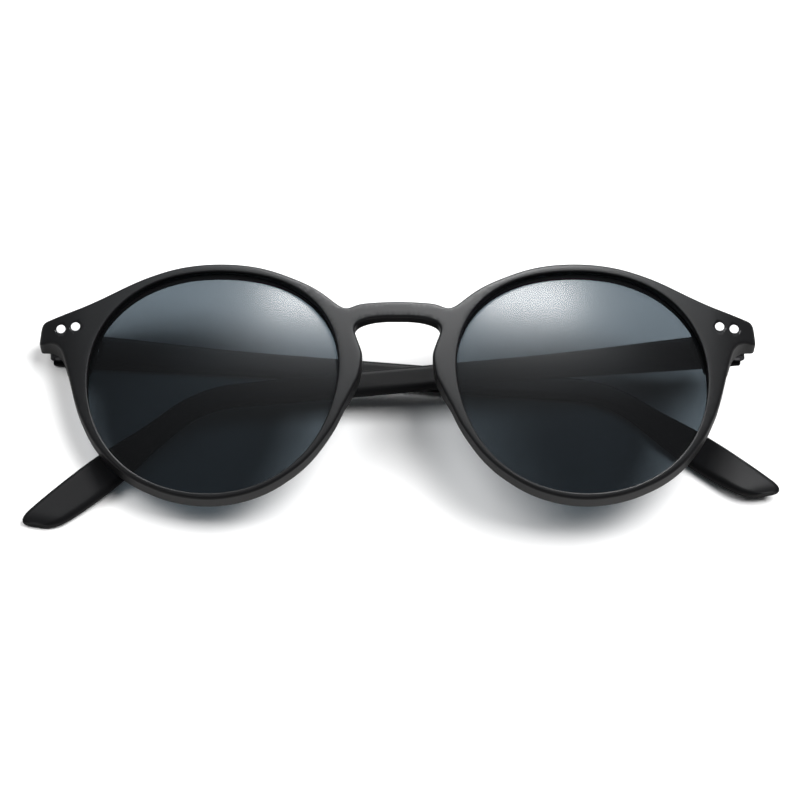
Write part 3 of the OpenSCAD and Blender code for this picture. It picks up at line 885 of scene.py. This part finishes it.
class Temple:
    """One arm of black plastic, from the hinge to the tip behind the ear."""

    def __init__(self, side: Side, sizes: ArmSizes, front: FrontFrame, opens: float) -> None:
        """Takes the side, the sizes, the front and how far the arm opens, degrees."""
        self.side, self.sizes, self.front, self.hinge = side, sizes, front, front.hinge
        self.turned = math.radians(90 + opens)
        self.h_line = smooth_line(sizes.heights, sizes.height_steps)

    def place(self, points: Array) -> Array:
        """Points on the face from points in the arm's own axes, in its folded place.

        Args:
            points: the points on the arm.

        Returns:
            The same points on the face.
        """
        c, n = math.cos(self.turned), math.sin(self.turned)
        x, y, z = np.asarray(points, float).T
        out = np.stack([c * x + n * z, y, -n * x + c * z], axis=1)
        out += (self.front.hinge_x, self.hinge.y, self.hinge.z)
        return out * (self.side.value, 1, 1)

    def _spot(self, s: float) -> Triple:
        """Finds a place on the middle line of the arm.

        Args:
            s: distance along the arm from the hinge axis.

        Returns:
            The heading in radians, then the place along and up.
        """
        z = self.sizes
        bend, droop = math.radians(z.bend_deg), math.radians(z.droop)
        a = droop + min(max(s - z.bend_at, 0) / z.bend_r, bend)
        straight, after = min(s, z.bend_at), max(s - z.bend_at - z.bend_r * bend, 0)
        sine, cosine = math.sin(a) - math.sin(droop), math.cos(a) - math.cos(droop)
        x = straight * math.cos(droop) + z.bend_r * sine + after * math.cos(a)
        y = -straight * math.sin(droop) + z.bend_r * cosine - after * math.sin(a)
        return a, x, y

    def ring(self, s: float, shrink: float = 0.0) -> Array:
        """One section of the arm.

        Args:
            s: distance along the arm from the hinge axis.
            shrink: how much smaller it is all round, near the ends.

        Returns:
            The section's points in the arm's own axes.
        """
        z = self.sizes
        thin = min(shrink, z.edge_r * z.thin_most)
        r = z.edge_r - thin / 2
        half_w = z.thick / 2 - thin / 2 - r
        half_h = float(np.interp(max(s / z.length, 0), *self.h_line.T)) / 2 - shrink - r
        points = []
        for q, (sx, sy) in enumerate(((1, 1), (-1, 1), (-1, -1), (1, -1))):
            for a in np.radians(q * 90 + np.linspace(0, 90, z.corner_points)):
                points.append((sx * half_w + r * math.cos(a), sy * half_h + r * math.sin(a)))
            if q in (1, 3):
                points += [(sx * (half_w + r), sy * half_h * t) for t in z.side_points]
        w, h = np.array(points).T
        a, x, y = self._spot(s)
        if s < z.slant_len:
            k = -math.tan(math.radians(z.droop)) * (1 - max(s, 0) / z.slant_len)
        else:
            k = max(s - z.length + z.slant_len, 0) / z.slant_len * z.tip_slant
        start, long = z.curl_at
        curl = z.curl * (max(s / z.length - start, 0) / long) ** 2
        x = x + h * (math.sin(a) + k * math.cos(a))
        y = y + h * (math.cos(a) - k * math.sin(a))
        return np.stack([x, y, z.gap_in + z.thick / 2 + w - curl], axis=1)

    def build(self, plastic: Material) -> Object:
        """Makes the arm.

        Args:
            plastic: the finish.

        Returns:
            The arm as one object.
        """
        z, skin = self.sizes, Skin()
        last = z.length - z.tip_long
        along = [(-z.butt + s, shrink) for s, shrink in z.butt_edge]
        first = -z.butt + z.butt_edge[0][1]
        along += [(s, 0.0) for s in np.linspace(first, last, int((last + z.butt) / z.ring_step))]
        for a in np.radians(np.linspace(*z.tip_turn)):
            s = z.length - z.tip_long * (1 - math.sin(a))
            along.append((s, z.tip_round * (1 - math.cos(a))))
        skin.tube([skin.add(self.place(self.ring(s, shrink))) for s, shrink in along])
        obj = skin.build(f"arm_shell_{self.side.word}", self.front.frame, [plastic], z.sharp)
        cut(obj, self._tools(), z.sharp)
        return obj

    def _tools(self) -> list[Object]:
        """The pockets for the leaf, the knuckles and the rivets, as solids to cut away."""
        z, h = self.sizes, self.hinge
        leaf, barrel, holes = Skin(), Skin(), Skin()
        depth = [z.gap_in + limit for limit in z.leaf_z]
        add_box(leaf, (z.leaf_near, z.leaf_far), (-h.leaf_h / 2, h.leaf_h / 2), depth)
        rod = [(h.knuckle_room, -h.knuckle_half), (h.knuckle_room, h.knuckle_half)]
        add_lathe(barrel, rod, (0, 0, 0), "Y")
        out = z.gap_in + z.thick
        for s in z.rivets:
            add_lathe(holes, [(h.rivet_r, out - h.rivet_h), (h.rivet_r, out + z.over)], (s, 0, 0))
        c, n = math.cos(math.radians(z.droop)), math.sin(math.radians(z.droop))
        lean, level = np.array([[c, -n, 0], [n, c, 0], [0, 0, 1]]), np.eye(3)
        tools = []
        for name, skin, turn in (
            ("leaf", leaf, lean), ("barrel", barrel, level), ("seats", holes, lean)
        ):  # fmt: skip
            skin.points = [self.place(np.vstack(skin.points) @ turn)]
            tools.append(skin.build(f"{name}_{self.side.word}", self.front.frame))
        return tools

    def rivet_spots(self) -> Array:
        """Tops of the rivets on the outer face, on the face's axes."""
        z = self.sizes
        a, out = -math.radians(z.droop), z.gap_in + z.thick
        return self.place(np.array([(s * math.cos(a), s * math.sin(a), out) for s in z.rivets]))

    def rivet_axis(self) -> Array:
        """Direction out of the arm's outer face."""
        tip, foot = self.place(np.array([(0, 0, 1.0), (0, 0, 0.0)]))
        return tip - foot


class Wire:
    """A node socket that takes part in arithmetic."""

    def __init__(self, graph: "Graph", socket: bpy.types.NodeSocket) -> None:
        """Takes the graph and the output socket."""
        self.graph, self.socket = graph, socket

    def _math(self, operation: str, *values: "Wire | float") -> "Wire":
        """Adds one math node on values in order."""
        return self.graph.node("ShaderNodeMath", dict(enumerate(values)), operation=operation)

    def __add__(self, other: "Wire | float") -> "Wire":
        """Sum."""
        return self._math("ADD", self, other)

    def __sub__(self, other: "Wire | float") -> "Wire":
        """Difference."""
        return self._math("SUBTRACT", self, other)

    def __rsub__(self, other: float) -> "Wire":
        """Difference, number first."""
        return self._math("SUBTRACT", other, self)

    def __mul__(self, other: "Wire | float") -> "Wire":
        """Product."""
        return self._math("MULTIPLY", self, other)

    __radd__, __rmul__ = __add__, __mul__

    def most(self, other: "Wire | float") -> "Wire":
        """The larger of two values."""
        return self._math("MAXIMUM", self, other)


class Graph:
    """A node tree that is built node by node."""

    def __init__(self, tree: bpy.types.NodeTree) -> None:
        """Takes a tree and empties it."""
        self.tree = tree
        tree.nodes.clear()

    def node(
        self, kind: str, inputs: dict[int | str, object], output: int | str = 0, **settings: object
    ) -> Wire:
        """Adds any node.

        Args:
            kind: the node's type.
            inputs: values or wires by the name or the number of their socket.
            output: which output is wanted.
            settings: the node's own properties, which are set first.

        Returns:
            The wanted output.
        """
        node = self.tree.nodes.new(kind)
        for key, value in settings.items():
            setattr(node, key, value)
        for key, value in inputs.items():
            if isinstance(value, Wire):
                self.tree.links.new(value.socket, node.inputs[key])
            else:
                node.inputs[key].default_value = value
        return Wire(self, node.outputs[output])

    def end(self, kind: str, socket: str, wire: Wire) -> None:
        """Joins a wire to the node that ends the tree."""
        self.tree.links.new(wire.socket, self.tree.nodes.new(kind).inputs[socket])


class Shader(Graph):
    """Builds one material."""

    def __init__(self, name: str) -> None:
        """Starts a material with an empty tree."""
        self.material = bpy.data.materials.new(name)
        self.material.use_nodes = True
        super().__init__(self.material.node_tree)

    def noise(self, scale: float, detail: float) -> Wire:
        """Noise over the object's own coordinates."""
        place = self.node("ShaderNodeTexCoord", {}, "Object")
        return self.node("ShaderNodeTexNoise", {"Vector": place, "Scale": scale, "Detail": detail})

    def finish(self, surface: Wire) -> Material:
        """Joins the surface to the output and gives the material."""
        self.end("ShaderNodeOutputMaterial", "Surface", surface)
        return self.material


@dataclass(frozen=True)
class BlackPlastic:
    """Satin black plastic with a faint unevenness."""

    colour: float = 0.0055
    blue: float = 1.08
    roughness: float = 0.42
    spread: float = 0.05
    patches: float = 90.0
    grain: float = 0.04
    grain_scale: float = 1500.0
    grain_depth: float = 0.00002
    detail: Pair = (3.0, 2.0)  # Of the patches and of the grain.
    reflects: float = 0.31

    def build(self, name: str = "black_plastic") -> Material:
        """Makes the material.

        Args:
            name: the material's name.

        Returns:
            The material.
        """
        s = Shader(name)
        scales = (self.patches, self.grain_scale)
        patches, grain = (s.noise(*pair) for pair in zip(scales, self.detail))
        bump = {"Strength": self.grain, "Distance": self.grain_depth, "Height": grain}
        surface = {
            "Base Color": (self.colour, self.colour, self.colour * self.blue, 1),
            "Roughness": self.roughness - self.spread / 2 + patches * self.spread,
            "Specular IOR Level": self.reflects,
            "Normal": s.node("ShaderNodeBump", bump),
        }
        return s.finish(s.node(PRINCIPLED, surface))


@dataclass(frozen=True)
class TintedGlass:
    """Dark tint that lets some of what lies behind show, in a colour of its own if it has one."""

    colour: Triple = (0.0045, 0.0048, 0.0052)
    alpha: float = 0.87
    dense: float = 0.95  # Its alpha for shadows.
    roughness: float = 0.27
    smear: float = 0.02
    smear_scale: float = 45.0
    detail: float = 2.0
    reflects: float = 0.24
    tint: Optional[Triple] = None

    def build(self, name: str) -> Material:
        """Makes the material.

        Args:
            name: the material's name.

        Returns:
            The material.
        """
        s = Shader(name)
        surface = {
            "Base Color": (*self.colour, 1),
            "Roughness": self.roughness + s.noise(self.smear_scale, self.detail) * self.smear,
            "Specular IOR Level": self.reflects,
        }
        if self.tint is None:
            shade = s.node("ShaderNodeLightPath", {}, "Is Shadow Ray")
            surface["Alpha"] = self.alpha + shade * (self.dense - self.alpha)
            return s.finish(s.node(PRINCIPLED, surface))
        clear = s.node("ShaderNodeBsdfTransparent", {"Color": (*self.tint, 1)})
        layers = {0: self.alpha, 1: clear, 2: s.node(PRINCIPLED, surface)}
        return s.finish(s.node("ShaderNodeMixShader", layers))


@dataclass(frozen=True)
class Metal:
    """Plain metal with fine scuffs."""

    colour: Triple
    roughness: float
    spread: float = 0.12
    metallic: float = 1.0
    scuffs: float = 900.0
    detail: float = 3.0

    def build(self, name: str) -> Material:
        """Makes the material.

        Args:
            name: the material's name.

        Returns:
            The material.
        """
        s = Shader(name)
        scuffs = s.noise(self.scuffs, self.detail)
        surface = {
            "Base Color": (*self.colour, 1),
            "Metallic": self.metallic,
            "Roughness": self.roughness - self.spread / 2 + scuffs * self.spread,
        }
        return s.finish(s.node(PRINCIPLED, surface))


class Rivets:
    """Rivets set on points by geometry nodes."""

    def __init__(self, hinge: HingeSizes, frame: FaceFrame, metal: Material) -> None:
        """Takes the rivets' sizes, the face's place and the finish, and builds the node group."""
        self.hinge, self.frame, self.metal = hinge, frame, metal
        self.group = bpy.data.node_groups.new("set_parts", "GeometryNodeTree")
        face = self.group.interface
        face.new_socket("Geometry", in_out="OUTPUT", socket_type="NodeSocketGeometry")
        kinds = {"Geometry": "Geometry", "Part": "Object", "Axis": "Vector", "Finish": "Material"}
        self.ids = {
            name: face.new_socket(name, in_out="INPUT", socket_type=f"NodeSocket{kind}").identifier
            for name, kind in kinds.items()
        }
        g = Graph(self.group)
        points, part, axis, finish = (g.node("NodeGroupInput", {}, name) for name in kinds)
        part = g.node("GeometryNodeObjectInfo", {"Object": part}, "Geometry")
        turn = g.node("FunctionNodeAlignRotationToVector", {"Vector": axis}, axis="Z")
        spread = {"Points": points, "Instance": part, "Rotation": turn}
        spread = g.node("GeometryNodeInstanceOnPoints", spread)
        real = g.node("GeometryNodeRealizeInstances", {"Geometry": spread})
        painted = g.node("GeometryNodeSetMaterial", {"Geometry": real, "Material": finish})
        g.end("NodeGroupOutput", "Geometry", painted)

    def _part(self, name: str, shank: float) -> Object:
        """One rivet, with its seat's face at height 0 and a worn ring round its head.

        Args:
            name: the object's name.
            shank: how far the shank reaches below height 0, mm.

        Returns:
            The rivet as one object.
        """
        h = self.hinge
        r, rim, top = h.rivet_r - h.head_room, h.head_rim, h.head_proud
        worn = rim * h.worn
        profile = [
            (h.shank_r, -shank), (h.shank_r, -h.rivet_h), (r, -h.rivet_h),
            (r, top - rim), (r - worn, top - worn), (r - rim, top),
        ]  # fmt: skip
        skin = Skin()
        add_lathe(skin, profile, (0, 0, 0))
        return skin.build(name, FaceFrame.plain(), angle=h.sharp)

    def build(self, name: str, spots: Array, axis: Sequence[float], shank: float) -> Object:
        """Sets one rivet on each spot.

        Args:
            name: the object's name.
            spots: tops of the rivets on the face, mm.
            axis: the direction that the heads look.
            shank: how far the shank reaches below the top, mm.

        Returns:
            The rivets as one plain mesh.
        """
        part = self._part(f"{name}_part", shank)
        carrier = bpy.data.meshes.new(name)
        carrier.from_pydata(self.frame.place(spots).tolist(), [], [])
        obj = place_new(name, carrier)
        change = obj.modifiers.new("set", "NODES")
        change.node_group = self.group
        given = {"Part": part, "Axis": self.frame.turn(axis), "Finish": self.metal}
        for key, value in given.items():
            change[self.ids[key]] = value
        obj.update_tag()
        bake(obj)
        bpy.data.objects.remove(part)
        log.info("%s: %d rivets, %d faces", name, len(spots), len(obj.data.polygons))
        return obj


@dataclass(frozen=True)
class Lamp:
    """One soft lamp that looks at the glasses, in millimetres and watts on the front's axes."""

    name: str
    towards: Triple
    far: float
    size: Pair
    power: float
    colour: Triple = (1.0, 1.0, 1.0)
    diffuse: bool = True
    glossy: bool = True


@dataclass(frozen=True)
class StudioSizes:
    """Camera, lamps and floor. Places are on the front's axes, in millimetres."""

    camera: Triple = (0.4745, -280.53, 589.10)
    below: float = 25.0
    lens: float = 154.1
    sensor: float = 36.0
    clip: Pair = (0.05, 20.0)  # Metres.
    lamps: tuple[Lamp, ...] = (
        Lamp("key", (0.09, 0.765, 0.635), 900.0, (340.0, 180.0), 11.0, diffuse=False),
        Lamp("glow", (0.09, 0.765, 0.635), 900.0, (760.0, 600.0), 1.55, diffuse=False),
        Lamp("right", (0.47, 0.13, 0.89), 1500.0, (850.0, 1000.0), 34.0, glossy=False),
        Lamp("left", (-0.47, 0.13, 0.89), 1500.0, (850.0, 1000.0), 15.5, glossy=False),
        Lamp("sky", (0, 0.81, 0.588), 900.0, (1000.0, 880.0), 1.5, (0.6, 0.82, 1.0), diffuse=False),
    )
    world: float = 0.05
    world_colour: Triple = (0.97, 0.985, 1.0)
    floor: float = 0.93
    floor_half: float = 4000.0
    floor_roughness: float = 0.9
    bounce: float = 0.15
    mirrored: float = 0.25  # How much of the camera's floor colour glossy rays see.


class Studio:
    """The pale floor, the lamps, the world and the camera."""

    def __init__(self, sizes: StudioSizes, frame: FaceFrame) -> None:
        """Takes the studio's sizes and where the face is."""
        self.sizes, self.frame = sizes, frame

    def build(self) -> None:
        """Sets everything up round the face frame."""
        self._floor()
        self._world()
        for lamp in self.sizes.lamps:
            self._lamp(lamp)
        self._camera()
        bpy.context.scene.view_settings.view_transform = "Standard"

    def _floor(self) -> None:
        """A wide flat floor whose colour is paler to the camera than to bounced light."""
        z, skin = self.sizes, Skin()
        corners = np.array([(-1, -1, 0), (1, -1, 0), (1, 1, 0), (-1, 1, 0)]) * z.floor_half
        skin.face(skin.add(corners))
        s = Shader("floor")
        rays = ("Is Camera Ray", "Is Glossy Ray", "Is Transmission Ray")
        camera, glossy, through = (s.node("ShaderNodeLightPath", {}, ray) for ray in rays)
        seen = camera.most(through).most(glossy * z.mirrored)
        tone = z.bounce + seen * (z.floor - z.bounce)
        grey = dict.fromkeys(("Red", "Green", "Blue"), tone)
        surface = {
            "Base Color": s.node("ShaderNodeCombineColor", grey),
            "Roughness": z.floor_roughness,
            "Specular IOR Level": 0.0,
        }
        finish = s.finish(s.node(PRINCIPLED, surface))
        skin.build("floor", FaceFrame.plain(), [finish])

    def _world(self) -> None:
        """An even pale world."""
        world = bpy.data.worlds.new("studio")
        world.use_nodes = True
        back = world.node_tree.nodes["Background"]
        back.inputs["Color"].default_value = (*self.sizes.world_colour, 1)
        back.inputs["Strength"].default_value = self.sizes.world
        bpy.context.scene.world = world

    def _lamp(self, lamp: Lamp) -> None:
        """Hangs one lamp.

        Args:
            lamp: its place, size and light.
        """
        data = bpy.data.lights.new(lamp.name, "AREA")
        data.shape, data.energy, data.color = "RECTANGLE", lamp.power, lamp.colour
        data.size, data.size_y = (length * MM for length in lamp.size)
        obj = place_new(lamp.name, data)
        towards = self.frame.turn(lamp.towards).normalized()
        turn = towards.to_track_quat("Z", "Y").to_matrix().to_4x4()
        place = self.frame.origin + towards * lamp.far * MM
        obj.matrix_world = Matrix.Translation(place) @ turn
        obj.visible_diffuse, obj.visible_glossy = lamp.diffuse, lamp.glossy

    def _camera(self) -> None:
        """Stands the camera below the brow line, looking at the bridge."""
        s, frame = self.sizes, self.frame
        data = bpy.data.cameras.new("camera")
        data.lens, data.sensor_width = s.lens, s.sensor
        data.clip_start, data.clip_end = s.clip
        obj = place_new("camera", data)
        c, n = math.cos(math.radians(s.below)), math.sin(math.radians(s.below))
        turn = Matrix([frame.turn(v) for v in ((1, 0, 0), (0, c, n), (0, -n, c))]).transposed()
        place = Vector(frame.place(np.array(s.camera)))
        obj.matrix_world = Matrix.Translation(place) @ turn.to_4x4()
        bpy.context.scene.camera = obj


class Sunglasses:
    """The whole pair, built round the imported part."""

    def __init__(self, part: dict) -> None:
        """Takes what the part's loader gives."""
        self.part = part
        self.hinge = HingeSizes()
        self.frame = FaceFrame.from_joints(part["joints"], self.hinge)
        front = FrontSizes()
        self.lens = Lens(LensSizes(), front.ball_r, self.frame)
        self.front = FrontFrame(front, self.lens, self.hinge)
        rivet = Metal(colour=(0.74, 0.74, 0.75), roughness=0.45, spread=0.3, metallic=0.2)
        self.rivets = Rivets(self.hinge, self.frame, rivet.build("rivet_metal"))

    def build(self) -> None:
        """Builds every piece and hides the nodes that each one stands for."""
        self._front()
        self._lenses()
        self._arms()
        self._metal()

    @staticmethod
    def _give(obj: Object, body: str, slot: str, *nodes: str) -> None:
        """Hands a piece to its body.

        Args:
            obj: the piece.
            body: the body that carries it.
            slot: the record's material slot; not used.
            nodes: the nodes that it stands for.
        """
        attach(obj, body)
        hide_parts(*nodes)

    def _front(self) -> None:
        """The front and its four rivets."""
        front = self.front.build(BlackPlastic().build())
        self._give(front, "front", "black_plastic", "front_frame")
        h = self.hinge
        xs = [s.value * (self.front.hinge_x - inset) for s in Side for inset in h.rivets_in]
        spots = np.array([(x, h.y) for x in xs])
        spots = np.column_stack([spots, self.front.front(spots)])
        rivets = self.rivets.build("front_rivets", spots, (0, 0, 1), h.shank_front)
        names = [f"front_rivet_{where}_{s.word}" for where in ("inner", "outer") for s in Side]
        self._give(rivets, "front", "rivet", *names)

    def _lenses(self) -> None:
        """Both lenses."""
        face = TintedGlass().build("lens_face")
        back = TintedGlass(alpha=0.08, reflects=0.2, tint=(0.68, 0.86, 1.0)).build("lens_back")
        edge = TintedGlass(alpha=1.0, dense=1.0, reflects=0.2).build("lens_edge")
        for side in Side:
            lens = self.lens.build(side, [face, back, edge])
            self._give(lens, "front", "tinted_lens", f"lens_{side.word}")

    def _arms(self) -> None:
        """Both arms with their rivets."""
        plastic = BlackPlastic(roughness=0.5, reflects=0.11).build("arm_plastic")
        right = ArmSizes(bend_at=102.0, droop=2.95, curl=5.5)
        bent = {
            Side.LEFT: (ArmSizes(), self.frame.left_turn),
            Side.RIGHT: (right, self.frame.right_turn),
        }
        for side, (sizes, opens) in bent.items():
            word, body = side.word, f"arm_{side.word}"
            arm = Temple(side, sizes, self.front, opens)
            self._give(arm.build(plastic), body, "black_plastic", f"temple_{word}")
            spots, axis = arm.rivet_spots(), arm.rivet_axis()
            rivets = self.rivets.build(f"arm_rivets_{word}", spots, axis, self.hinge.shank_arm)
            names = [f"temple_rivet_{where}_{word}" for where in ("near", "far")]
            self._give(rivets, body, "rivet", *names)

    def _metal(self) -> None:
        """Finishes of the hinges, screws and core wires, whose shapes are right as packed."""
        finishes = {
            "core_wire": Metal(colour=(0.6, 0.6, 0.62), roughness=0.3).build("wire_metal"),
            "screw": Metal(colour=(0.22, 0.22, 0.23), roughness=0.45).build("screw_metal"),
            "hinge": Metal(colour=(0.05, 0.05, 0.055), roughness=0.5).build("hinge_metal"),
        }
        for name, obj in self.part["nodes"].items():
            finish = next((finishes[word] for word in finishes if word in name), None)
            if finish:
                obj.data.materials.clear()
                obj.data.materials.append(finish)


def main() -> None:
    """Builds the pair and the studio."""
    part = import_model()
    glasses = Sunglasses(part)
    glasses.build()
    Studio(StudioSizes(), glasses.frame).build()


if __name__ == "__main__":
    main()
